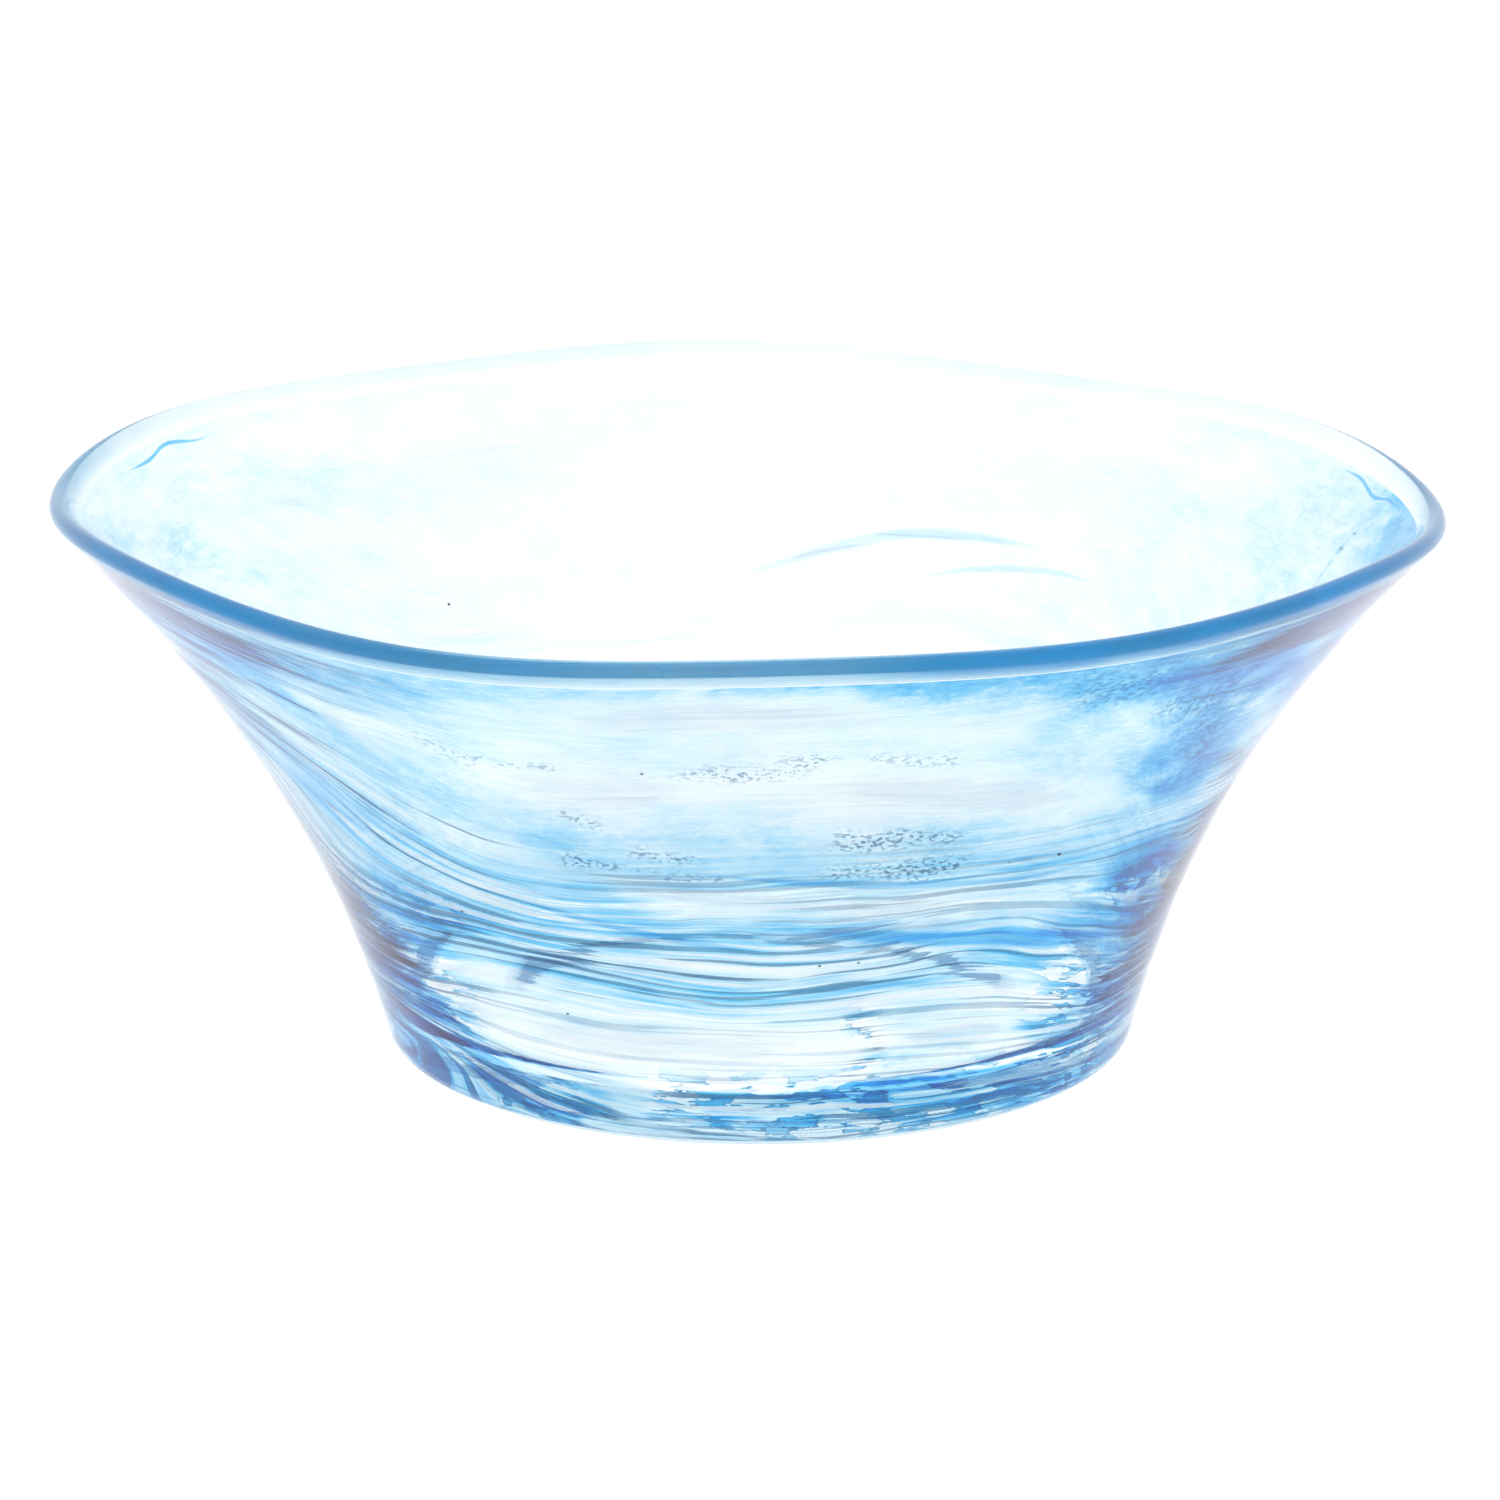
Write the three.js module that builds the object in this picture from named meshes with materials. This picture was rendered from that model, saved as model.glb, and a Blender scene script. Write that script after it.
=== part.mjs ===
// A hand-blown art glass bowl with a flared mouth, built as the layers a glassblower lays down:
// a clear inner gather, blue and milk-white trails drawn out over it, a clear casing over the
// trails, a thick base gather with a ground foot, and a blue wrap on the lip.
// Millimetres, +Z up, origin at the middle of the foot's resting plane.
// Bearings are degrees anticlockwise from +X seen from above, so 270 faces the front (-Y).
import * as THREE from "three";

// Overall size
const LIP_TOP = 98.8; // height of the lip before the hand-made wave
const WALL = 3.8; // wall thickness, measured square to the wall
const FOOT_RADIUS = 58.5; // outer edge of the flat resting ring
const HEEL_RADIUS = 5.2; // rounding between the foot and the wall

// Layers through the wall, as depths in from the outer face
const CASING = 1.2;
const SEAM = 0.3; // open seam between two layers of glass
const TRAIL = 0.5;
const TRAIL_DEPTH = CASING + SEAM + TRAIL / 2;
const INNER_DEPTH = CASING + SEAM + TRAIL + SEAM;
const THICK_BASE = 2.6; // how much thicker the inner gather is at the very bottom

// Levels near the floor
const BASE_TOP = 3.6; // where the base gather's side ends
const KICK = 1.8; // hollow ground into the underside
const KICK_RADIUS = 46;
const FLOOR_SEAM = 5.2; // underside of the inner gather's floor
const FLOOR_TOP = 9.2;
const FLOOR_RADIUS = 9; // rounding between the floor and the inside wall

// Lip
const LIP_RADIUS = 1.75;
const LIP_HEIGHT = 3.4; // length of the wrap down the wall

// The hand-made shape: the mouth sits a little to one side, and the lip rises and falls
const FOOT_SHIFT = 2;
const MOUTH_SHIFT = 0;
const WAVE_FROM = 0.4; // height fraction above which the wave begins
const WAVES = [
  { turns: 1, height: 1.4, crest: 187 },
  { turns: 2, height: 0.6, crest: 141 },
  { turns: 3, height: 0.8, crest: 83 },
  { turns: 4, height: 0.3, crest: 28 },
  { turns: 6, height: 0.8, crest: 32 },
];

// Facets
const AROUND = 60;
const TRAIL_STEP = 11; // length of a trail's facets
const TRAIL_AROUND = 8;

const CLEAR = { color: 0xd9effa, roughness: 0.03, opacity: 0.35 };
const MILK = { color: 0xf2f8fd, roughness: 0.25, opacity: 0.8 };
const PALE = { color: 0x9fd0ee, roughness: 0.08, opacity: 0.7 };
const BLUE = { color: 0x3a9bd8, roughness: 0.06, opacity: 0.8 };
const DEEP = { color: 0x0b76c4, roughness: 0.05, opacity: 0.85 };

// Each trail: bearings and height fractions that its middle runs through, and its width up the wall
const trail = (name, glass, width, ...path) => ({ name, glass, width, path });
const TRAILS = [
  // Upper wall
  trail("left_pale_veil", PALE, 12, [206, 0.88], [220, 0.87], [234, 0.86], [246, 0.87]),
  trail("upper_white_veil", MILK, 9, [250, 0.87], [268, 0.88], [286, 0.87]),
  trail("right_shoulder_veil", BLUE, 12, [300, 0.87], [314, 0.85], [328, 0.8], [342, 0.74]),
  trail("right_cheek_trail", PALE, 7, [315, 0.7], [324, 0.66], [336, 0.6], [348, 0.54]),
  trail("right_rim_streak", PALE, 2.6, [3, 0.66], [8, 0.76], [10, 0.86], [9, 0.93]),
  trail("left_white_cloud", MILK, 12, [242, 0.71], [254, 0.715], [267, 0.725]),
  trail("right_white_cloud", MILK, 11, [271, 0.725], [285, 0.71], [298, 0.67], [311, 0.62]),
  trail("back_white_veil", MILK, 13, [100, 0.84], [128, 0.8], [160, 0.82]),
  trail("back_curl_trail", PALE, 3, [48, 0.68], [60, 0.7], [72, 0.69], [86, 0.63], [98, 0.57]),
  // Middle of the wall
  trail("left_upper_sweep", PALE, 3.6, [186, 0.84], [200, 0.77], [214, 0.68], [228, 0.615]),
  trail("left_lower_sweep", PALE, 3, [192, 0.7], [206, 0.62], [220, 0.54], [232, 0.5]),
  trail("white_ribbon", MILK, 4.8,
    [232, 0.585], [248, 0.54], [264, 0.5], [282, 0.475], [300, 0.45], [314, 0.43]),
  trail("cyan_thread", BLUE, 2.2,
    [252, 0.575], [264, 0.547], [278, 0.523], [292, 0.505], [307, 0.495], [322, 0.51]),
  trail("main_blue_trail", DEEP, 4.4,
    [262, 0.45], [280, 0.42], [295, 0.39], [310, 0.355], [326, 0.315], [343, 0.26]),
  trail("lower_cyan_trail", BLUE, 2.4, [237, 0.475], [248, 0.44], [262, 0.405], [277, 0.38]),
  trail("right_blue_knot", DEEP, 6, [318, 0.43], [328, 0.385], [340, 0.335], [352, 0.29]),
  trail("back_blue_trail", BLUE, 6, [20, 0.44], [60, 0.41], [98, 0.4], [132, 0.44], [166, 0.52]),
  // Low on the wall
  trail("middle_striae_trail", PALE, 5, [232, 0.335], [255, 0.33], [280, 0.32], [305, 0.295]),
  trail("left_deep_trail", DEEP, 6, [186, 0.38], [200, 0.345], [214, 0.33], [228, 0.325]),
  trail("left_heel_trail", DEEP, 8, [196, 0.24], [208, 0.225], [219, 0.2], [229, 0.175]),
  trail("low_white_patch", MILK, 10, [230, 0.2], [248, 0.2], [265, 0.2], [282, 0.2]),
  trail("right_low_patch", MILK, 8, [288, 0.2], [298, 0.19], [308, 0.19]),
  trail("right_low_trail", BLUE, 8, [312, 0.2], [326, 0.19], [340, 0.18]),
  trail("base_sweep_trail", BLUE, 4.4, [192, 0.165], [208, 0.145], [222, 0.12], [236, 0.092], [250, 0.072]),
  trail("base_right_trail", DEEP, 4.4, [256, 0.1], [274, 0.105], [292, 0.108], [310, 0.105], [328, 0.11]),
  trail("back_low_trail", BLUE, 6, [8, 0.2], [50, 0.17], [92, 0.15], [134, 0.17], [170, 0.21]),
];

const smooth = (x) => x * x * (3 - 2 * x);
const clamp01 = (x) => Math.min(1, Math.max(0, x));
const mix = (a, b, u) => a + (b - a) * u;

// Outer radius of the wall at a height fraction, and how fast it grows
const outerRadius = (t) => 64.3 + 25.8 * t + 32.3 * t ** 2.4;
const outerGrowth = (t) => 25.8 + 32.3 * 2.4 * t ** 1.4;

// A point of the wall's section: height fraction t, depth in from the outer face, square to it
function wallPoint(t, depth) {
  const slope = new THREE.Vector2(outerGrowth(t), LIP_TOP).normalize();
  return new THREE.Vector2(outerRadius(t) - depth * slope.y, LIP_TOP * t + depth * slope.x);
}

// Points along one face of the wall, from one height fraction to another
const wallFace = (from, to, steps, depthAt) =>
  Array.from({ length: steps + 1 }, (_, i) => {
    const t = mix(from, to, i / steps);
    return wallPoint(t, depthAt(t));
  });

// Points on a quarter or part turn about a centre, angles in degrees
const arc = (x, y, radius, from, to, steps) =>
  Array.from({ length: steps + 1 }, (_, i) => {
    const a = THREE.MathUtils.degToRad(mix(from, to, i / steps));
    return new THREE.Vector2(x + radius * Math.cos(a), y + radius * Math.sin(a));
  });

// The lip's rounding is centred where its top just reaches LIP_TOP
const LIP_CENTRE = (() => {
  let t = 1;
  for (let i = 0; i < 20; i++) t -= (wallPoint(t, WALL / 2).y + LIP_RADIUS - LIP_TOP) / LIP_TOP;
  return t;
})();
const wallLength = Math.hypot(outerGrowth(0.95), LIP_TOP); // wall length per unit of height fraction
const LIP_FOOT = LIP_CENTRE - (LIP_HEIGHT - LIP_RADIUS) / wallLength;
const GATHER_TOP = LIP_FOOT - SEAM / wallLength;

const innerThickness = (t) => THICK_BASE * (1 - t) ** 3;
const insideFace = (t) => WALL + innerThickness(t);

// Height fraction on a face where the section reaches a level
function fractionAtLevel(level, depthAt) {
  let t = level / LIP_TOP;
  for (let i = 0; i < 30; i++) t -= (wallPoint(t, depthAt(t)).y - level) / LIP_TOP;
  return t;
}

function innerGatherProfile() {
  const outerDepth = () => INNER_DEPTH;
  const low = fractionAtLevel(FLOOR_SEAM + 3, outerDepth);
  const edge = wallPoint(low, INNER_DEPTH);
  const inLow = fractionAtLevel(FLOOR_TOP + FLOOR_RADIUS * 0.8, insideFace);
  const inEdge = wallPoint(inLow, insideFace(inLow));
  const floorEdge = new THREE.Vector2(inEdge.x - FLOOR_RADIUS, FLOOR_TOP);
  const fillet = new THREE.QuadraticBezierCurve(
    inEdge,
    new THREE.Vector2(inEdge.x - FLOOR_RADIUS * 0.2, FLOOR_TOP),
    floorEdge,
  );
  return [
    new THREE.Vector2(0, FLOOR_SEAM),
    new THREE.Vector2(KICK_RADIUS, FLOOR_SEAM),
    new THREE.Vector2(edge.x - 4, FLOOR_SEAM),
    new THREE.Vector2(edge.x - 1, FLOOR_SEAM + 1.1),
    ...wallFace(low, GATHER_TOP, 10, outerDepth),
    ...wallFace(GATHER_TOP, inLow, 10, insideFace),
    ...fillet.getPoints(4).slice(1),
    new THREE.Vector2(0, FLOOR_TOP),
  ];
}

function casingProfile() {
  const outer = () => 0;
  const inner = () => CASING;
  const low = fractionAtLevel(BASE_TOP + SEAM, outer);
  const face = wallFace(low, GATHER_TOP, 10, outer);
  const back = wallFace(GATHER_TOP, fractionAtLevel(BASE_TOP + SEAM, inner), 10, inner);
  return [...face, ...back, face[0].clone()];
}

function baseProfile() {
  const side = wallPoint(fractionAtLevel(BASE_TOP, () => 0), 0);
  const heel = new THREE.QuadraticBezierCurve(
    new THREE.Vector2(FOOT_RADIUS, 0),
    new THREE.Vector2(FOOT_RADIUS + HEEL_RADIUS, 0),
    side,
  );
  return [
    new THREE.Vector2(0, KICK),
    new THREE.Vector2(KICK_RADIUS * 0.6, KICK),
    new THREE.Vector2(KICK_RADIUS * 0.9, KICK * 0.6),
    new THREE.Vector2(KICK_RADIUS, 0),
    ...heel.getPoints(5),
    new THREE.Vector2(side.x - CASING - SEAM, BASE_TOP),
    new THREE.Vector2(side.x - CASING - SEAM - 3, FLOOR_SEAM - SEAM),
    new THREE.Vector2(0, FLOOR_SEAM - SEAM),
  ];
}

// A ring of the full wall thickness, square at its foot and rounded at its top
function lipProfile() {
  const foot = [wallPoint(LIP_FOOT, 0), wallPoint(LIP_FOOT, WALL)];
  const middle = wallPoint(LIP_CENTRE, WALL / 2);
  const lean = THREE.MathUtils.radToDeg(Math.atan2(LIP_TOP, outerGrowth(LIP_CENTRE)));
  const round = arc(middle.x, middle.y, LIP_RADIUS, lean - 90, lean + 90, 7);
  return [foot[0], ...round, foot[1], foot[0].clone()];
}

// Moves a point of the turned shape to where the blower's hand left it
function handShape(point) {
  const t = clamp01(point.z / LIP_TOP);
  const bearing = Math.atan2(point.y, point.x);
  const lift = smooth(clamp01((t - WAVE_FROM) / (1 - WAVE_FROM)));
  const wave = WAVES.reduce(
    (sum, w) => sum + w.height * Math.cos(w.turns * (bearing - THREE.MathUtils.degToRad(w.crest))),
    0,
  );
  point.x += mix(FOOT_SHIFT, MOUTH_SHIFT, smooth(t));
  point.z += lift * wave;
  return point;
}

function reshape(geometry, place) {
  const positions = geometry.getAttribute("position");
  const point = new THREE.Vector3();
  for (let i = 0; i < positions.count; i++) {
    place(point.fromBufferAttribute(positions, i));
    handShape(point);
    positions.setXYZ(i, point.x, point.y, point.z);
  }
  geometry.computeVertexNormals();
  return geometry;
}

function turned(profile) {
  const geometry = new THREE.LatheGeometry(profile, AROUND);
  geometry.rotateX(Math.PI / 2); // three.js turns about Y, the bowl stands along Z
  return reshape(geometry, (point) => point);
}

// A trail is a drawn-out, flattened blob: a sphere whose poles are the trail's two fine ends,
// laid along its path in the seam between the inner gather and the casing.
// The path is drawn on the unrolled wall, in millimetres at mid height.
const UNROLLED = new THREE.Vector2(1.6, 110); // per degree of bearing, per unit of height fraction

function trailGeometry({ path, width }) {
  const unrolled = path.map(([bearing, t]) => new THREE.Vector3(bearing * UNROLLED.x, t * UNROLLED.y, 0));
  const middle = new THREE.CatmullRomCurve3(unrolled);
  const geometry = new THREE.SphereGeometry(1, TRAIL_AROUND, Math.ceil(middle.getLength() / TRAIL_STEP) + 4);
  return reshape(geometry, (point) => {
    const along = 0.5 + Math.asin(THREE.MathUtils.clamp(point.y, -1, 1)) / Math.PI; // rings evenly spaced
    const heading = middle.getTangentAt(along);
    const across = (point.x * width) / 2;
    const centre = middle.getPointAt(along);
    centre.add(new THREE.Vector3(-heading.y * across, heading.x * across, 0));
    const bearing = THREE.MathUtils.degToRad(centre.x / UNROLLED.x);
    const section = wallPoint(centre.y / UNROLLED.y, TRAIL_DEPTH + (point.z * TRAIL) / 2);
    point.set(section.x * Math.cos(bearing), section.x * Math.sin(bearing), section.y);
  });
}

function glassMaterial({ color, roughness, opacity }) {
  return new THREE.MeshStandardMaterial({ color, roughness, metalness: 0, opacity, transparent: true });
}

function piece(name, geometry, glass) {
  const mesh = new THREE.Mesh(geometry, glassMaterial(glass));
  mesh.name = name;
  return mesh;
}

const group = new THREE.Group();
group.add(piece("inner_gather", turned(innerGatherProfile()), CLEAR));
group.add(piece("outer_casing", turned(casingProfile()), CLEAR));
group.add(piece("base_gather", turned(baseProfile()), CLEAR));
group.add(piece("lip_wrap", turned(lipProfile()), BLUE));

const trails = new THREE.Group();
TRAILS.forEach((trail) => trails.add(piece(trail.name, trailGeometry(trail), trail.glass)));
group.add(trails);

export default group;
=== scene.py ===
"""A hand-blown art glass bowl: clear glass with blue and milk-white colour drawn round its wall.

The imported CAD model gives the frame, the box and the names of the layers. This script builds the
finished glass around it. Lengths are in millimetres until a mesh is made, bearings are degrees
anticlockwise from +X seen from above (270 faces the front), and heights on the wall are fractions
of LIP_TOP, as in the CAD model.
"""

import math

import bpy
import numpy as np
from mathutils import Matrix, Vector


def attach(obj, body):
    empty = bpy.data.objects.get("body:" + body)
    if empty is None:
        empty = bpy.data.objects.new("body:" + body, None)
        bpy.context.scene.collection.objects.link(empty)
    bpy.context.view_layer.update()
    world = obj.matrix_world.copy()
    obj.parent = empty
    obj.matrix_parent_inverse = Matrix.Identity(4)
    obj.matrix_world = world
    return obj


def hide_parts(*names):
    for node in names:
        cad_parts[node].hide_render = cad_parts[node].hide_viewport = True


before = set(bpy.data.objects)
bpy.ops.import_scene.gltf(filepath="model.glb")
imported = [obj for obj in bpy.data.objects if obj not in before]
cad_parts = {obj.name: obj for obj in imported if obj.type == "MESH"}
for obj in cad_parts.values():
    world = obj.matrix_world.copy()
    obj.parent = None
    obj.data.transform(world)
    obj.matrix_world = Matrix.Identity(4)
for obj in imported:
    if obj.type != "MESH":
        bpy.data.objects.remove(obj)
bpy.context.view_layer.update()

MM = 0.001

# The bowl's section, as in the CAD model
LIP_TOP = 98.8
WALL = 3.8
FOOT_RADIUS = 58.5
HEEL_RADIUS = 5.2
HEEL_TOP = 3.6
KICK = 1.8
KICK_RADIUS = 46.0
FLOOR_TOP = 9.2
FLOOR_RADIUS = 9.0
THICK_BASE = 2.6
LIP_RADIUS = 1.75

# The outer face's radius: at the table, how much it gains in a straight line up to the top, and
# how much more the flare adds, with a power that says how late
BASE_OUT = 64.3
SLOPE_OUT = 25.8
FLARE_OUT = 32.3
FLARE_POWER = 2.4

# The hand-made shape
FOOT_SHIFT = 2.0
MOUTH_SHIFT = 0.0
WAVE_FROM = 0.4
WAVES = ((1, 1.4, 187), (2, 0.6, 141), (3, 0.8, 83), (4, 0.3, 28), (6, 0.8, 32))

# Layers of colour: depths in from the outer face, and how thick they are
WASH_DEPTH = 1.1
FILM_THICKNESS = 0.25
TRAIL_DEPTH = 1.75
TRAIL_THICKNESS = 0.5
TRAIL_TAPER = 0.75  # below 1, a trail keeps its width nearer to its ends
LINING_DEPTH = 2.6
SEED_DEPTH = 3.3  # behind the lining

# Sheets of colour: lowest and highest height fraction, both short of the lip's wrap
WASH_SPAN = (0.018, 0.945)
LINING_SPAN = (0.03, 0.942)

# How cloudy the lining is at most, and low at the back
LINING_MILK = 0.12
LOW_BACK_MILK = 0.25

# Points round and up, or for the wrap round the bowl and round its own section
WASH_GRID = (400, 123)
LINING_GRID = (300, 80)
RING_GRID = (360, 20)
BODY_AROUND = 324

# The lip's wrap
RING_INSET = 0.35  # in from the lip's surface
RING_DROP = 1.0  # its middle lies this far below the lip's
RING_FAINTEST = 0.08
# Where the wrap is strong: (strength, middle bearing, reach in degrees)
RING_STRONG = ((0.9, 308, 76), (0.66, 212, 66))

PARALLEL = 0.95  # how closely the inside of the wall follows the swells of the outside
LIP_INSET = 0.17  # keeps the finished lip inside the plain model's box

# Millimetres on the unrolled wall, per degree of bearing and per unit of height fraction
UNROLLED = np.array([1.6, 110.0])

rng = np.random.default_rng(7)


# ---------------------------------------------------------------- section and hand shape

def smooth(x):
    x = np.clip(x, 0.0, 1.0)
    return x * x * (3 - 2 * x)


def outer_radius(t):
    return BASE_OUT + SLOPE_OUT * t + FLARE_OUT * np.maximum(t, 0) ** FLARE_POWER


def outer_growth(t):
    """How fast the outer radius grows with t."""
    return SLOPE_OUT + FLARE_OUT * FLARE_POWER * np.maximum(t, 0) ** (FLARE_POWER - 1)


def wall_point(t, depth):
    """Radius and height of a point of the wall, depth in from the outer face and square to it."""
    growth = outer_growth(t)
    length = np.hypot(growth, LIP_TOP)
    return outer_radius(t) - depth * LIP_TOP / length, LIP_TOP * t + depth * growth / length


def inside_depth(t):
    return WALL + THICK_BASE * (1 - t) ** 3


def fraction_at(level, depth_at):
    """The height fraction at which a face of the wall reaches a level."""
    t = level / LIP_TOP
    for _ in range(40):
        t -= (wall_point(t, depth_at(t))[1] - level) / LIP_TOP
    return t


def lip_centre():
    """Where the lip's rounding is centred, so that its top just reaches LIP_TOP."""
    t = 1.0
    for _ in range(40):
        t -= (wall_point(t, WALL / 2)[1] + LIP_RADIUS - LIP_TOP) / LIP_TOP
    return t


LIP_AT = lip_centre()


def rim_wave(bearing):
    return sum(h * np.cos(n * (bearing - math.radians(crest))) for n, h, crest in WAVES)


def hand_shape(points):
    """Moves turned points to where the blower's hand left them."""
    t = points[:, 2] / LIP_TOP
    bearing = np.arctan2(points[:, 1], points[:, 0])
    lift = smooth((t - WAVE_FROM) / (1 - WAVE_FROM))
    out = points.copy()
    out[:, 0] += FOOT_SHIFT + (MOUTH_SHIFT - FOOT_SHIFT) * smooth(t)
    out[:, 2] += lift * rim_wave(bearing)
    return out


def turned_points(bearing, radius, height):
    return np.stack([radius * np.cos(bearing), radius * np.sin(bearing), height], -1).reshape(-1, 3)


# ---------------------------------------------------------------- how the colour was drawn round

def bump(bearing_deg, middle, reach):
    """1 at a bearing, falling smoothly to 0 at reach degrees either side."""
    away = np.abs((bearing_deg - middle + 180) % 360 - 180) / reach
    return np.where(away < 1, np.cos(away * math.pi / 2) ** 2, 0.0)


# Where the streaks leave the level: (shift of their label, middle bearing, reach in degrees,
# middle height fraction, spread in height)
SWEEPS = (
    (-0.27, 186, 66, 0.66, 0.20),  # high on the left
    (0.12, 348, 62, 0.30, 0.17),  # low on the right
    (-0.16, 192, 66, 0.10, 0.09),  # the heel at the left
    (-0.12, 62, 48, 0.66, 0.16),  # the curl at the back
)


def streamline(bearing_deg, t):
    """A label that is constant along a drawn streak: the height the streak would have if level."""
    label = t
    for shift, middle, reach, height, spread in SWEEPS:
        label = label + shift * bump(bearing_deg, middle, reach) * np.exp(-(((t - height) / spread) ** 2))
    return label


# ---------------------------------------------------------------- soft noise at the vertices

LATTICE_SIZE = 40
LATTICE = rng.random((LATTICE_SIZE,) * 3)


def soft_noise(points, octaves=3, gain=0.5):
    """Smooth noise from 0 to 1, about a half on average, for an array of places in space."""
    total, weight, norm = 0.0, 1.0, 0.0
    for octave in range(octaves):
        place = np.asarray(points) * 2.0 ** octave + 7.31 * octave + 500.0
        cell = np.floor(place).astype(int)
        k = place - cell
        k = k * k * (3 - 2 * k)
        value = 0.0
        for corner in range(8):
            step = np.array([corner & 1, corner >> 1 & 1, corner >> 2 & 1])
            share = np.prod(np.where(step, k, 1 - k), axis=-1)
            at = (cell + step) % LATTICE_SIZE
            value = value + share * LATTICE[at[..., 0], at[..., 1], at[..., 2]]
        total, norm, weight = total + weight * value, norm + weight, weight * gain
    return total / norm


# ---------------------------------------------------------------- meshes

def make_mesh(name, points_mm, faces, attributes=None):
    mesh = bpy.data.meshes.new(name)
    mesh.from_pydata((points_mm * MM).tolist(), [], faces)
    mesh.validate()
    mesh.polygons.foreach_set("use_smooth", [True] * len(mesh.polygons))
    obj = bpy.data.objects.new(name, mesh)
    bpy.context.scene.collection.objects.link(obj)
    for key, values in (attributes or {}).items():
        set_attribute(obj, key, values)
    return obj


def set_attribute(obj, key, values):
    """Stores a number or a vector at each vertex, for the materials to read."""
    vector = values.ndim == 2
    attribute = obj.data.attributes.new(key, "FLOAT_VECTOR" if vector else "FLOAT", "POINT")
    attribute.data.foreach_set("vector" if vector else "value", values.astype(np.float32).ravel())


def grid_faces(rows, columns, wrap_columns=False, wrap_rows=False):
    """Quads of a grid whose vertex (i, j) is number i * columns + j."""
    faces = []
    for i in range(rows if wrap_rows else rows - 1):
        for j in range(columns if wrap_columns else columns - 1):
            a, b = i * columns + j, i * columns + (j + 1) % columns
            k = (i + 1) % rows
            faces.append((a, b, k * columns + (j + 1) % columns, k * columns + j))
    return faces


def flow_places(bearing, t):
    """Where each point lies in the drawn glass: round the wall, and across the streaks."""
    ring = outer_radius(0.5)
    label = streamline(np.degrees(bearing) % 360, t) * LIP_TOP * 1.15
    flow = np.stack([ring * np.cos(bearing), ring * np.sin(bearing), label], -1) / 100.0
    wander = soft_noise(flow * [2.4, 2.4, 5.5], 3) - 0.5
    flow[..., 2] += 0.07 * wander
    return flow.reshape(-1, 3)


def wall_attributes(bearing, t):
    return {"flow": flow_places(bearing, t)}


def body_profile():
    """Radius, height and wall fraction round the section, from under the middle to the floor's."""
    angles = np.linspace(0, 1, 9)
    side_t = fraction_at(HEEL_TOP, lambda t: 0.0)
    side = np.array(wall_point(side_t, 0.0))
    kick = [(0.0, KICK)] + [(KICK_RADIUS * x, KICK * (1 - x ** 6)) for x in np.linspace(0.1, 1, 14)]
    ring = [(x, 0.0) for x in np.linspace(KICK_RADIUS, FOOT_RADIUS, 6)[1:]]
    a, b = np.array([FOOT_RADIUS, 0.0]), np.array([FOOT_RADIUS + HEEL_RADIUS, 0.0])
    heel = [tuple((1 - u) ** 2 * a + 2 * u * (1 - u) * b + u * u * side) for u in angles[1:]]
    outer_t = np.linspace(side_t, LIP_AT, 118)[1:-1]
    outer = [wall_point(t, 0.0) for t in outer_t]
    middle = wall_point(LIP_AT, WALL / 2)
    lean = math.atan2(LIP_TOP, float(outer_growth(LIP_AT)))
    turn = np.linspace(lean - math.pi / 2, lean + math.pi / 2, 15)
    round_lip = [(middle[0] + WALL / 2 * math.cos(w), middle[1] + LIP_RADIUS * math.sin(w))
                 for w in turn]
    in_t = fraction_at(FLOOR_TOP + FLOOR_RADIUS * 0.8, inside_depth)
    inner_t = np.linspace(LIP_AT, in_t, 110)[1:]
    inner = [wall_point(t, inside_depth(t)) for t in inner_t]
    edge = np.array(inner[-1])
    corner = edge - [FLOOR_RADIUS * 0.2, edge[1] - FLOOR_TOP]
    flat = np.array([edge[0] - FLOOR_RADIUS, FLOOR_TOP])
    fillet = [tuple((1 - u) ** 2 * edge + 2 * u * (1 - u) * corner + u * u * flat)
              for u in angles[1:]]
    floor = [(flat[0] * x, FLOOR_TOP) for x in np.linspace(1, 0, 15)[1:]]
    section = np.array(kick + ring + heel + outer + round_lip + inner + fillet + floor)
    under = [z / LIP_TOP for _, z in kick + ring + heel]
    above = [float(in_t)] * (len(fillet) + len(floor))
    fraction = np.concatenate([under, outer_t, np.full(len(round_lip), LIP_AT), inner_t, above])
    return section, fraction


# Swells and ridges on the body: (turns round the bowl, pitch in mm, height in mm)
RIPPLES = ((3, 31.0, 0.05), (5, 19.0, 0.026), (8, 12.0, 0.014), (13, 7.1, 0.006))


def body_relief(bearing, t):
    """How far the glass stands out from the turned shape, in mm: soft swells and drawn ridges."""
    level = streamline(np.degrees(bearing) % 360, t) * LIP_TOP
    relief = np.zeros_like(level)
    for turns, pitch, tall in RIPPLES:
        phase = rng.uniform(0, 2 * math.pi, 2)
        relief += tall * np.sin(turns * bearing + phase[0] + 2 * math.pi * level / pitch)
        relief += tall * np.sin(-(turns - 1) * bearing + phase[1] + 2 * math.pi * level / (pitch * 0.8))
    return relief * smooth(t / 0.08) * (1 - smooth((t - 0.9) / 0.06))


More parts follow.
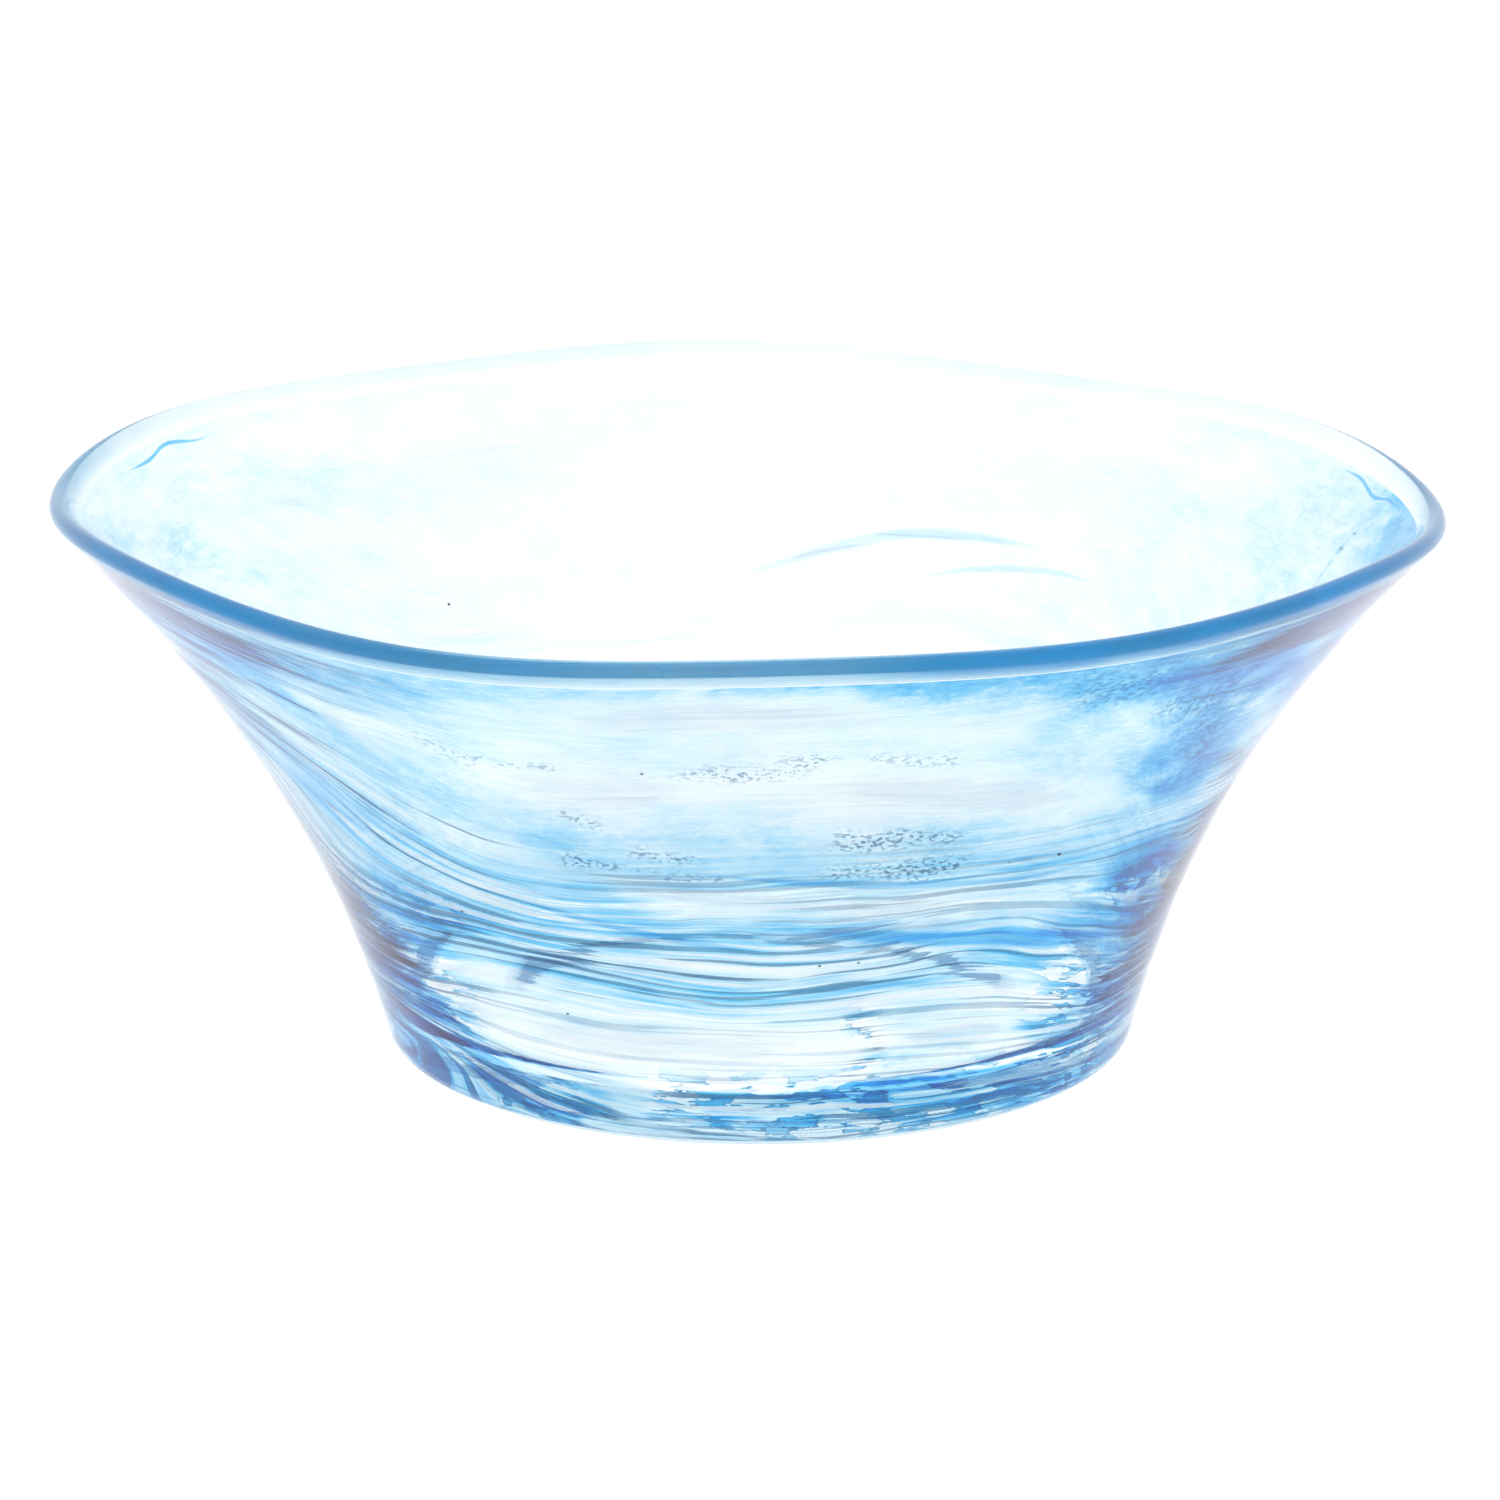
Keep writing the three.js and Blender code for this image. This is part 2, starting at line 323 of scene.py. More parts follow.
def glass_body():
    profile, fraction = body_profile()
    around = BODY_AROUND
    bearing = np.linspace(0, 2 * math.pi, around, endpoint=False)
    inner_part = profile[1:-1]
    count = len(inner_part)
    tangent = np.gradient(inner_part, axis=0)
    tangent /= np.linalg.norm(tangent, axis=1)[:, None] + 1e-9
    normal = np.stack([tangent[:, 1], -tangent[:, 0]], -1)
    angle, radius = np.meshgrid(bearing, inner_part[:, 0])
    height = np.repeat(inner_part[:, 1][:, None], around, 1)
    is_outside = np.arange(count) < np.argmax(inner_part[:, 1])
    on_wall = smooth((inner_part[:, 0] - 50) / 12)
    facing = np.where(is_outside, 1.0, -PARALLEL * on_wall)
    level = np.repeat(fraction[1:-1][:, None], around, 1)
    relief = body_relief(angle, level) * facing[:, None]
    relief -= LIP_INSET * smooth((height - 85) / 10.0)
    radius = radius + relief * normal[:, 0][:, None]
    height = np.maximum(height + relief * normal[:, 1][:, None] * (height > 1.0), 0.0)
    points = hand_shape(turned_points(angle, radius, height))
    poles = hand_shape(np.array([[0, 0, profile[0, 1]], [0, 0, profile[-1, 1]]]))
    points = np.vstack([points, poles])
    faces = grid_faces(count, around, wrap_columns=True)
    bottom, top = count * around, count * around + 1
    last = (count - 1) * around
    faces += [(bottom, (j + 1) % around, j) for j in range(around)]
    faces += [(top, last + j, last + (j + 1) % around) for j in range(around)]
    level = np.concatenate([level.ravel(), [0.0, 0.0]])
    angles = np.concatenate([angle.ravel(), [0.0, 0.0]])
    return make_mesh("glass_body", points, faces, wall_attributes(angles, level))


def catmull_rom(points, steps):
    """Evenly spaced places along a smooth curve through given points on the unrolled wall."""
    p = np.array(points, float) * UNROLLED
    p = np.vstack([2 * p[0] - p[1], p, 2 * p[-1] - p[-2]])
    fine = []
    for i in range(1, len(p) - 2):
        u = np.linspace(0, 1, 40, endpoint=False)[:, None]
        a, b, c, d = p[i - 1], p[i], p[i + 1], p[i + 2]
        fine.append(0.5 * (2 * b + (c - a) * u + (2 * a - 5 * b + 4 * c - d) * u ** 2
                           + (3 * b - a - 3 * c + d) * u ** 3))
    fine = np.vstack(fine + [p[-2][None]])
    run = np.concatenate([[0], np.cumsum(np.linalg.norm(np.diff(fine, axis=0), axis=1))])
    at = np.linspace(0, run[-1], steps)
    line = np.stack([np.interp(at, run, fine[:, k]) for k in range(2)], -1)
    heading = np.gradient(line, axis=0)
    heading /= np.linalg.norm(heading, axis=1)[:, None]
    return line, heading, run[-1]


def trail_mesh(name, width, path, ragged=1.0, amount=1.0):
    """A drawn-out, flattened blob of colour, closed all round, laid along its path inside the wall."""
    length = catmull_rom(path, 8)[2]
    steps = max(24, int(length / 1.5))
    across = max(8, int(width / 0.6))
    line, heading, _ = catmull_rom(path, steps)
    u = np.linspace(0, 1, steps)
    wobble = np.zeros(steps)
    for turns in (2, 3, 5, 9):
        size, phase = rng.uniform(-0.09, 0.09), rng.uniform(0, 2 * math.pi)
        wobble += size * np.sin(2 * math.pi * turns * u + phase)
    half = 0.5 * width * (1 + wobble) * np.sin(math.pi * np.clip(u, 0.004, 0.996)) ** TRAIL_TAPER
    turn = np.linspace(0, 2 * math.pi, 2 * across, endpoint=False)
    offset = np.cos(turn)[None] * half[:, None]
    side = np.stack([-heading[:, 1], heading[:, 0]], -1)
    place = line[:, None, :] + side[:, None, :] * offset[..., None]
    bearing = np.radians(place[..., 0] / UNROLLED[0])
    t = np.clip(place[..., 1] / UNROLLED[1], 0.03, 0.975)
    thin = np.clip(half / (0.5 * width), 0.05, 1)[:, None] * TRAIL_THICKNESS / 2
    radius, height = wall_point(t, TRAIL_DEPTH - np.sin(turn)[None] * thin)
    points = hand_shape(turned_points(bearing, radius, height))
    faces = [tuple(reversed(f)) for f in grid_faces(steps, 2 * across, wrap_columns=True)]
    columns = 2 * across
    faces += [tuple(range(columns)), tuple(reversed(range((steps - 1) * columns, steps * columns)))]
    attributes = wall_attributes(bearing.ravel(), t.ravel())
    core = (1 - np.abs(np.cos(turn))[None] ** 1.6) * smooth(np.minimum(u, 1 - u) / 0.35)[:, None]
    attributes["core"] = core.ravel()
    attributes["ragged"] = np.full(core.size, ragged)
    attributes["amount"] = np.full(core.size, amount)
    trail = make_mesh(name, points, faces, attributes)
    outward = [0 if i % columns < across else 1 for i in range(len(faces))]
    trail.data.polygons.foreach_set("material_index", outward)
    return trail


# ---------------------------------------------------------------- soft painting on the wall

def stroke(bearing_deg, t, path, half_width):
    """1 on a path drawn on the wall, falling away over half_width mm."""
    here = np.stack([bearing_deg * UNROLLED[0], t * UNROLLED[1]], -1)
    line = catmull_rom(path, max(8, 4 * len(path)))[0]
    nearest = np.full(len(here), 1e9)
    for a, b in zip(line[:-1], line[1:]):
        ab = b - a
        k = np.clip(((here - a) @ ab) / (ab @ ab), 0, 1)
        nearest = np.minimum(nearest, np.linalg.norm(here - a - k[:, None] * ab, axis=1))
    return np.exp(-((nearest / half_width) ** 2))


def paint(values, mask, target):
    """Brings values towards a target where the mask is on."""
    return values + (target - values) * np.clip(mask, 0, 1)


# Colour wash: a factor on all of its strokes but the lip's, then each as (density, half width in
# mm, path on the wall)
WASH_STRENGTH = 1.4
WASH_STROKES = (
    # Rows that lie below about a tenth of the height sit in the thick heel: partly its own blue and partly
    # painted refraction, deep blue and white flecks standing in for the far wall and floor seen through the
    # base
    (0.34, 12, ((200, 0.92), (222, 0.90), (244, 0.92))),
    (0.22, 11, ((206, 0.76), (222, 0.78), (236, 0.80))),
    (0.05, 11, ((248, 0.86), (268, 0.87), (292, 0.86))),
    (0.02, 9, ((244, 0.72), (262, 0.73), (284, 0.72), (300, 0.66), (312, 0.60))),
    (0.04, 5, ((228, 0.83), (238, 0.78))),
    (0.36, 5, ((300, 0.91), (306, 0.90))),
    (0.50, 9, ((311, 0.93), (318, 0.84), (320, 0.72))),
    (0.40, 7, ((316, 0.70), (326, 0.64))),
    (0.38, 9, ((332, 0.88), (342, 0.76), (352, 0.60))),
    (0.10, 4, ((326, 0.92), (331, 0.86), (328, 0.74))),
    (0.24, 5, ((196, 0.70), (212, 0.60), (228, 0.52), (246, 0.46))),
    (0.26, 4, ((244, 0.47), (264, 0.45), (284, 0.42), (304, 0.37), (330, 0.32))),
    (0.05, 4, ((232, 0.59), (250, 0.54), (268, 0.50), (290, 0.47), (312, 0.44))),
    (0.20, 4, ((246, 0.58), (262, 0.56), (286, 0.545), (316, 0.56))),
    (0.25, 7, ((204, 0.42), (240, 0.38), (280, 0.35), (312, 0.30))),
    (0.03, 7, ((228, 0.20), (256, 0.20), (283, 0.21))),
    (0.06, 5, ((290, 0.21), (306, 0.18))),
    (0.36, 6, ((194, 0.41), (210, 0.37), (224, 0.35))),
    (0.62, 7, ((198, 0.28), (212, 0.24), (224, 0.17))),
    (0.50, 5, ((196, 0.10), (212, 0.095), (228, 0.08))),
    (0.75, 4, ((200, 0.05), (224, 0.045), (244, 0.035))),
    (0.48, 4, ((262, 0.085), (290, 0.075), (318, 0.08), (338, 0.10))),
    (0.48, 6, ((314, 0.20), (326, 0.19), (340, 0.20))),
    (0.44, 5, ((312, 0.05), (330, 0.06), (346, 0.08))),
    (0.50, 7, ((322, 0.41), (336, 0.35), (350, 0.29))),
    (0.34, 5, ((300, 0.36), (316, 0.31), (332, 0.27), (346, 0.23))),
    (0.10, 3, ((244, 0.02), (262, 0.035), (290, 0.03))),
)

# Strong colour below the lip: (density, half width, path)
LIP_STROKES = (
    (0.26, 3.5, ((196, 0.945), (225, 0.945), (262, 0.95))),
    (0.50, 6.5, ((284, 0.955), (304, 0.94), (324, 0.925), (345, 0.915), (362, 0.915))),
    (0.52, 2.4, ((268, 0.955), (290, 0.95), (318, 0.945), (350, 0.945), (368, 0.95))),
)

# Where dark and white lines of painted refraction are laid, painted shade and painted highlight lines
# standing in for refraction in the glass: (strength, half width in mm, path on the wall)
REFRACTION_LINE_STROKES = (
    (1.0, 3.6, ((194, 0.81), (206, 0.745), (216, 0.67), (228, 0.61), (240, 0.56))),
    (1.0, 3.6, ((198, 0.69), (210, 0.60), (222, 0.53), (236, 0.48), (254, 0.43))),
    (0.9, 5.0, ((190, 0.41), (205, 0.39), (230, 0.37), (256, 0.365))),
    (0.9, 6.0, ((190, 0.30), (210, 0.305), (226, 0.30))),
    (0.85, 9.0, ((228, 0.37), (262, 0.35), (300, 0.33), (325, 0.29))),
    (0.9, 6.0, ((322, 0.42), (335, 0.36), (350, 0.30))),
    (0.9, 4.5, ((196, 0.160), (215, 0.13), (230, 0.095), (246, 0.05))),
    (0.9, 4.5, ((258, 0.09), (290, 0.09), (328, 0.10))),
    (0.8, 3.5, ((262, 0.035), (290, 0.04), (330, 0.045))),
    (0.8, 8.0, ((204, 0.22), (224, 0.20))),
    (0.9, 6.0, ((312, 0.20), (328, 0.19), (344, 0.19))),
    (0.9, 2.5, ((283, 0.25), (286, 0.20), (284, 0.15))),
    (0.5, 3.5, ((248, 0.545), (280, 0.49), (312, 0.46))),
    (0.5, 2.5, ((278, 0.56), (300, 0.55), (325, 0.545))),
    (0.6, 2.5, ((292, 0.495), (306, 0.48), (322, 0.50), (338, 0.52))),
    (0.5, 4.0, ((330, 0.88), (336, 0.80), (345, 0.70))),
)
# Where the colour is torn into ragged patches: (strength, half width in mm, path on the wall)
TORN_STROKES = (
    # Rows that lie below about a tenth of the height sit in the thick heel: partly its own colour and partly
    # painted refraction, deep blue and white flecks standing in for the far wall and floor seen through the
    # base
    (1.0, 9.0, ((202, 0.33), (212, 0.27), (222, 0.20))),
    (0.9, 5.0, ((200, 0.06), (220, 0.055), (240, 0.04))),
    (1.0, 7.0, ((314, 0.24), (328, 0.19), (344, 0.17))),
    (1.0, 4.5, ((256, 0.095), (275, 0.10), (300, 0.09), (330, 0.10))),
    (0.8, 3.5, ((270, 0.05), (300, 0.05), (330, 0.05))),
    (0.9, 5.0, ((320, 0.42), (333, 0.36), (348, 0.30))),
    (0.7, 2.5, ((283, 0.26), (287, 0.20), (284, 0.14))),
    (0.5, 4.0, ((200, 0.42), (215, 0.40), (228, 0.40))),
    (0.35, 5.0, ((314, 0.90), (322, 0.80), (322, 0.70))),
)

# Patches of dark seed and stipple: (strength, half width in mm, path on the wall)
SPECK_STROKES = (
    (0.8, 0.8, ((243, 0.785), (247, 0.770), (252, 0.765))),
    (0.7, 1.8, ((265, 0.775), (270, 0.768), (276, 0.775))),
    (0.5, 1.2, ((281, 0.775), (289, 0.765))),
    (0.8, 1.3, ((253, 0.665), (256, 0.640))),
    (0.9, 1.0, ((258, 0.600), (263, 0.590))),
    (0.9, 1.1, ((249, 0.560), (256, 0.555))),
    (0.9, 1.1, ((259, 0.550), (266, 0.545))),
    (0.9, 1.5, ((279, 0.625), (285, 0.610), (291, 0.600))),
    (1.0, 1.7, ((280, 0.550), (285, 0.545), (291, 0.545))),
    (0.6, 5.0, ((314, 0.83), (319, 0.77), (321, 0.70))),
    (0.5, 4.0, ((300, 0.90), (306, 0.89))),
    (0.4, 3.0, ((239, 0.80), (242, 0.75))),
)


def wrap_deg(bearing):
    """Bearings from 100 to 460, so that the front of the bowl has no break in it."""
    return (np.degrees(bearing) - 100) % 360 + 100


def painted(degrees, t, base, strokes):
    values = base
    for value, half_width, path in strokes:
        values = paint(values, stroke(degrees, t, path, half_width), value)
    return values


def wash_paint(bearing, t, flow):
    """How the blue wash lies: its density, where it is streaked and stippled, and where painted refraction
    lines of shade and highlight go.
    """
    degrees = wrap_deg(bearing)
    # Ragged edges: each place is painted as if it were a little way off along the streaks
    off_x = (soft_noise(flow * [9.0, 9.0, 26.0], 3) - 0.5) * 9.0
    off_y = (soft_noise(flow * [8.0, 8.0, 17.0] + 40.0, 3) - 0.5) * 0.07
    degrees, high = degrees + off_x, t + off_y * (1 - smooth((t - 0.9) / 0.05))
    base = 0.17 - 0.155 * bump(degrees, 90, 125) ** 0.7
    density = painted(degrees, high, base, WASH_STROKES)
    upper = smooth((t - 0.52) / 0.12)
    streaks = soft_noise(flow * [1.7, 1.7, 17.0] + 3.0, 3, 0.6) - 0.5
    clouds = soft_noise(flow * [6.0, 6.0, 9.0] + 9.0, 4, 0.6) - 0.5
    uneven = 1 + 2.4 * (streaks * (1 - upper) + clouds * (0.3 + 0.7 * upper))
    density = WASH_STRENGTH * density * np.maximum(uneven, 0.08)
    density = painted(degrees, t, density, LIP_STROKES)
    far_rim = smooth((t - 0.94) / 0.03) * bump(degrees, 90, 110)
    density = paint(density, far_rim, 0.06)
    streaky = 0.12 + 0.85 * (1 - upper)
    sweep = bump(degrees, 205, 40) * smooth((t - 0.4) / 0.1) * (1 - smooth((t - 0.68) / 0.1))
    streaky = np.maximum(streaky, 0.8 * sweep)
    front = 1 - 0.85 * bump(degrees, 90, 105)
    # Where the painted refraction lines of shade and highlight go, fewer at the back
    refraction_lines = painted(degrees, high, 0.22 * (1 - upper) * front, REFRACTION_LINE_STROKES)
    torn = painted(degrees, high, np.zeros(len(t)), TORN_STROKES)
    specks = painted(degrees, high, np.zeros(len(t)), SPECK_STROKES)
    return {"blueness": density, "streaky": streaky, "refraction_lines": refraction_lines, "torn": torn, "specks": specks}


def wall_sheet(name, depth, span, grid, paint_with):
    """A thin closed shell inside the wall. Its outer side carries the colour."""
    around, rows = grid
    bearing = np.linspace(0, 2 * math.pi, around, endpoint=False)
    angle, t = np.meshgrid(bearing, np.linspace(*span, rows))
    attributes = {"flow": flow_places(angle.ravel(), t.ravel())}
    attributes.update(paint_with(angle.ravel(), t.ravel(), attributes["flow"]))
    for key, values in attributes.items():
        outer = values.reshape(rows, around, -1)
        both = np.concatenate([outer, outer[::-1]])
        attributes[key] = both.reshape(-1, 3) if values.ndim == 2 else both.ravel()
    angle, t = np.vstack([angle, angle[::-1]]), np.vstack([t, t[::-1]])
    inward = np.repeat([[0.0], [FILM_THICKNESS]], rows, 0)
    radius, height = wall_point(t, depth + inward)
    points = hand_shape(turned_points(angle, radius, height))
    faces = grid_faces(2 * rows, around, wrap_columns=True, wrap_rows=True)
    sheet = make_mesh(name, points, faces, attributes)
    behind = [0 if i < (rows - 1) * around else 1 for i in range(len(faces))]
    sheet.data.polygons.foreach_set("material_index", behind)
    return sheet


# ---------------------------------------------------------------- materials

class Nodes:
    """Short names for the shader nodes that the glass materials are built from."""

    def __init__(self, name):
        self.material = bpy.data.materials.new(name)
        self.material.use_nodes = True
        self.tree = self.material.node_tree
        self.tree.nodes.clear()
        self.out = self.tree.nodes.new("ShaderNodeOutputMaterial")

    def add(self, kind, **settings):
        node = self.tree.nodes.new(kind)
        for key, value in settings.items():
            setattr(node, key, value)
        return node

    def wire(self, value, socket):
        if isinstance(value, bpy.types.NodeSocket):
            self.tree.links.new(value, socket)
        else:
            socket.default_value = value

    def attribute(self, name, output="Fac"):
        return self.add("ShaderNodeAttribute", attribute_name=name).outputs[output]

    def math(self, operation, a, b=0.0, clamp=False):
        node = self.add("ShaderNodeMath", operation=operation, use_clamp=clamp)
        self.wire(a, node.inputs[0])
        self.wire(b, node.inputs[1])
        return node.outputs[0]

    def span(self, value, low, high, out_low=0.0, out_high=1.0):
        """value from low..high taken smoothly to out_low..out_high."""
        node = self.add("ShaderNodeMapRange", interpolation_type="SMOOTHSTEP")
        for socket, number in zip(node.inputs, (value, low, high, out_low, out_high)):
            self.wire(number, socket)
        return node.outputs[0]

    def stretch(self, vector, scale, shift=(0.0, 0.0, 0.0)):
        node = self.add("ShaderNodeMapping")
        self.wire(vector, node.inputs["Vector"])
        node.inputs["Scale"].default_value = scale
        node.inputs["Location"].default_value = shift
        return node.outputs[0]

    def noise(self, vector, scale=1.0, detail=2.0, roughness=0.5):
        node = self.add("ShaderNodeTexNoise")
        self.wire(vector, node.inputs["Vector"])
        for key, value in (("Scale", scale), ("Detail", detail), ("Roughness", roughness)):
            node.inputs[key].default_value = value
        return node.outputs["Fac"]

    def ramp(self, value, stops):
        node = self.add("ShaderNodeValToRGB")
        self.wire(value, node.inputs[0])
        elements = node.color_ramp.elements
        while len(elements) > 1:
            elements.remove(elements[-1])
        elements[0].position, elements[0].color = stops[0][0], (*stops[0][1], 1)
        for place, color in stops[1:]:
            elements.new(place).color = (*color, 1)
        return node.outputs[0]

    def mix(self, factor, a, b):
        node = self.add("ShaderNodeMix", data_type="RGBA")
        self.wire(factor, node.inputs["Factor"])
        self.wire(a, node.inputs[6])
        self.wire(b, node.inputs[7])
        return node.outputs[2]

    def blend(self, factor, a, b):
        node = self.add("ShaderNodeMixShader")
        self.wire(factor, node.inputs[0])
        self.tree.links.new(a, node.inputs[1])
        self.tree.links.new(b, node.inputs[2])
        return node.outputs[0]

    def see_through(self, color):
        node = self.add("ShaderNodeBsdfTransparent")
        self.wire(color, node.inputs["Color"])
        return node.outputs[0]

    def milk(self, color):
        """Cloudy glass: light scattered back and light scattered through, in one colour."""
        back = self.add("ShaderNodeBsdfDiffuse")
        front = self.add("ShaderNodeBsdfTranslucent")
        self.wire(color, back.inputs["Color"])
        self.wire(color, front.inputs["Color"])
        return self.blend(0.5, back.outputs[0], front.outputs[0])

    def finish(self, surface, volume=None):
        self.tree.links.new(surface, self.out.inputs["Surface"])
        if volume is not None:
            self.tree.links.new(volume, self.out.inputs["Volume"])
        return self.material


# Light left after one pass through the colour, by its density
BLUE_STOPS = (
    (0.00, (0.985, 0.995, 1.0)),
    (0.12, (0.77, 0.915, 0.98)),
    (0.25, (0.52, 0.80, 0.955)),
    (0.45, (0.18, 0.62, 0.90)),
    (0.65, (0.045, 0.49, 0.85)),
    (0.85, (0.008, 0.36, 0.76)),
    (1.00, (0.003, 0.18, 0.50)),
)


def clear_glass():
    n = Nodes("clear_glass")
    flow = n.attribute("flow", "Vector")
    ridges = n.noise(n.stretch(flow, (2.4, 2.4, 42.0)), 1.0, 2.0, 0.6)
    bump_node = n.add("ShaderNodeBump")
    bump_node.inputs["Strength"].default_value = 0.2
    bump_node.inputs["Distance"].default_value = 0.0002
    n.wire(ridges, bump_node.inputs["Height"])
    glass = n.add("ShaderNodeBsdfPrincipled")
    glass.inputs["Base Color"].default_value = (0.99, 0.997, 1.0, 1)
    glass.inputs["Roughness"].default_value = 0.0
    glass.inputs["IOR"].default_value = 1.5
    glass.inputs["Transmission Weight"].default_value = 1.0
    n.wire(bump_node.outputs[0], glass.inputs["Normal"])
    tint = n.add("ShaderNodeVolumeAbsorption")
    tint.inputs["Color"].default_value = (0.42, 0.80, 0.97, 1)
    tint.inputs["Density"].default_value = 4.0
    return n.finish(glass.outputs[0], tint.outputs[0])


def film_back():
    """The inner side of a colour film: the light has already been coloured, and only passes on."""
    n = Nodes("film_back")
    return n.finish(n.see_through((1.0, 1.0, 1.0, 1)))


# The colour of the dark specks and torn edges, which the glass has, and of the painted shade lines that stand
# in for refraction
DARK_FLECK_AND_REFRACTION_SHADE = (0.012, 0.17, 0.33, 1)
MILK_WHITE = (0.92, 0.965, 1.0, 1)


def wash_material():
    n = Nodes("drawn_blue_wash")
    flow = n.attribute("flow", "Vector")
    fine = n.noise(n.stretch(flow, (2.4, 2.4, 70.0)), 1.0, 3.0, 0.62)
    lines = n.noise(n.stretch(flow, (1.7, 1.7, 95.0), (0.0, 7.7, 1.3)), 1.0, 1.0, 0.5)
    grain = n.noise(n.stretch(flow, (110.0, 110.0, 160.0)), 1.0, 1.0, 0.6)
    mottle = n.noise(n.stretch(flow, (20.0, 20.0, 34.0), (5.0, 1.0, 2.0)), 1.0, 3.0, 0.6)
    rags = n.noise(n.stretch(flow, (10.0, 10.0, 42.0), (2.0, 0.0, 4.0)), 1.0, 3.0, 0.6)
    streaky = n.attribute("streaky")
    refraction_lines = n.attribute("refraction_lines")
    torn = n.attribute("torn")
    thread = n.math("MULTIPLY", n.math("MULTIPLY", n.math("SUBTRACT", fine, 0.5), 4.6), streaky)
    rough = n.math("SUBTRACT", n.math("ADD", grain, n.math("MULTIPLY", mottle, 2.0)), 1.5)
    soft = n.math("MULTIPLY", rough, n.math("SUBTRACT", 1.15, streaky))
    factor = n.math("ADD", 1.0, n.math("ADD", thread, soft))
    total = n.math("MULTIPLY", n.attribute("blueness"), n.math("MAXIMUM", factor, 0.05))
    patch = n.math("MULTIPLY", n.span(rags, 0.48, 0.53, -0.3, 0.34), torn)
    color = n.ramp(n.math("ADD", total, patch, clamp=True), BLUE_STOPS)
    edge = n.math("ABSOLUTE", n.math("SUBTRACT", rags, 0.53))
    edge = n.math("MULTIPLY", n.span(edge, 0.02, 0.008), torn)
    # Dark marks: painted shade lines standing in for refraction, with the torn patches' edges and the specks,
    # which are the glass's own colour
    dark = n.math("MAXIMUM", n.math("MULTIPLY", n.span(lines, 0.59, 0.62), refraction_lines), edge)
    dark = n.math("MAXIMUM", dark, n.math("MULTIPLY", n.span(grain, 0.53, 0.58), n.attribute("specks")))
    color = n.mix(n.math("MULTIPLY", dark, 0.92), color, DARK_FLECK_AND_REFRACTION_SHADE)
    # White lines of painted highlight, standing in for refraction, lightly clouded with milk
    painted_highlight = n.math("MULTIPLY", n.math("MULTIPLY", n.span(lines, 0.42, 0.38), refraction_lines), 0.9)
    color = n.mix(painted_highlight, color, (1.0, 1.0, 1.0, 1))
    cover = n.math("MULTIPLY", painted_highlight, 0.2)
    return n.finish(n.blend(cover, n.see_through(color), n.milk(MILK_WHITE)))


def lining_material():
    n = Nodes("milk_lining")
    fine = n.noise(n.stretch(n.attribute("flow", "Vector"), (2.4, 2.4, 30.0)), 1.0, 2.0, 0.6)
    cover = n.math("MULTIPLY", n.attribute("milkiness"), n.span(fine, 0.25, 0.7, 0.8, 1.0))
    color = n.ramp(n.attribute("shade"), ((0.2, (0.93, 0.965, 0.99)), (0.7, (0.99, 0.995, 1.0))))
    return n.finish(n.blend(cover, n.see_through((0.98, 0.992, 1.0, 1)), n.milk(color)))


def trail_material(name, density, milk, threads, refraction_shade):
    """Colour of a trail: dense along its core, drawn out into filaments towards its edges."""
    n = Nodes(name)
    flow = n.attribute("flow", "Vector")
    fine = n.noise(n.stretch(flow, (2.4, 2.4, 60.0), (2.0, 5.0, 1.0)), 1.0, 3.0, 0.62)
    torn = n.noise(n.stretch(flow, (5.0, 5.0, 34.0), (4.0, 4.0, 4.0)), 1.0, 3.0, 0.65)
    ragged = n.attribute("ragged")
    filament = n.math("MULTIPLY", n.math("SUBTRACT", torn, 0.5), n.math("MULTIPLY", ragged, 2.4))
    mask = n.span(n.math("ADD", n.attribute("core"), filament), 0.18, 0.85)
    mask = n.math("MULTIPLY", mask, n.attribute("amount"))
    thread = n.math("MULTIPLY", n.math("SUBTRACT", fine, 0.5), n.math("MULTIPLY", ragged, threads))
    level = n.math("MAXIMUM", n.math("ADD", thread, density), 0.0)
    color = n.ramp(n.math("MULTIPLY", level, mask, clamp=True), BLUE_STOPS)
    # Dark lines of painted shade, standing in for refraction in the glass
    lines = n.noise(n.stretch(flow, (1.7, 1.7, 95.0), (0.0, 2.7, 6.3)), 1.0, 1.0, 0.5)
    dark = n.math("MULTIPLY", n.span(lines, 0.60, 0.66), n.math("MULTIPLY", mask, ragged))
    color = n.mix(n.math("MULTIPLY", dark, refraction_shade), color, DARK_FLECK_AND_REFRACTION_SHADE)
    cover = n.math("MULTIPLY", mask, n.span(fine, 0.25, 0.55, milk * 0.4, milk))
    return n.finish(n.blend(cover, n.see_through(color), n.milk(MILK_WHITE)))


LIP_BLUES = ((0.0, (0.24, 0.78, 1.0)), (0.7, (0.004, 0.58, 1.0)))


def lip_material():
    """The lip's wrap: a thin, cloudy blue that is strongest on the front right."""
    n = Nodes("lip_blue")
    flow = n.attribute("flow", "Vector")
    drift = n.span(n.noise(n.stretch(flow, (3.0, 3.0, 60.0)), 1.0, 3.0), 0.3, 0.7, 0.65, 1.2)
    strength = n.math("MULTIPLY", n.attribute("strength"), drift, clamp=True)
    color = n.ramp(n.math("MULTIPLY", strength, 0.25), BLUE_STOPS)
    body = n.milk(n.ramp(strength, LIP_BLUES))
    return n.finish(n.blend(strength, n.see_through(color), body))


def seed_material():
    n = Nodes("seed_glass")
    shade = n.ramp(n.noise(n.attribute("flow", "Vector"), 40.0, 2.0),
                   ((0.3, (0.01, 0.04, 0.07)), (0.7, (0.05, 0.16, 0.22))))
    seed = n.add("ShaderNodeBsdfPrincipled")
    n.wire(shade, seed.inputs["Base Color"])
    seed.inputs["Roughness"].default_value = 0.3
    return n.finish(seed.outputs[0])


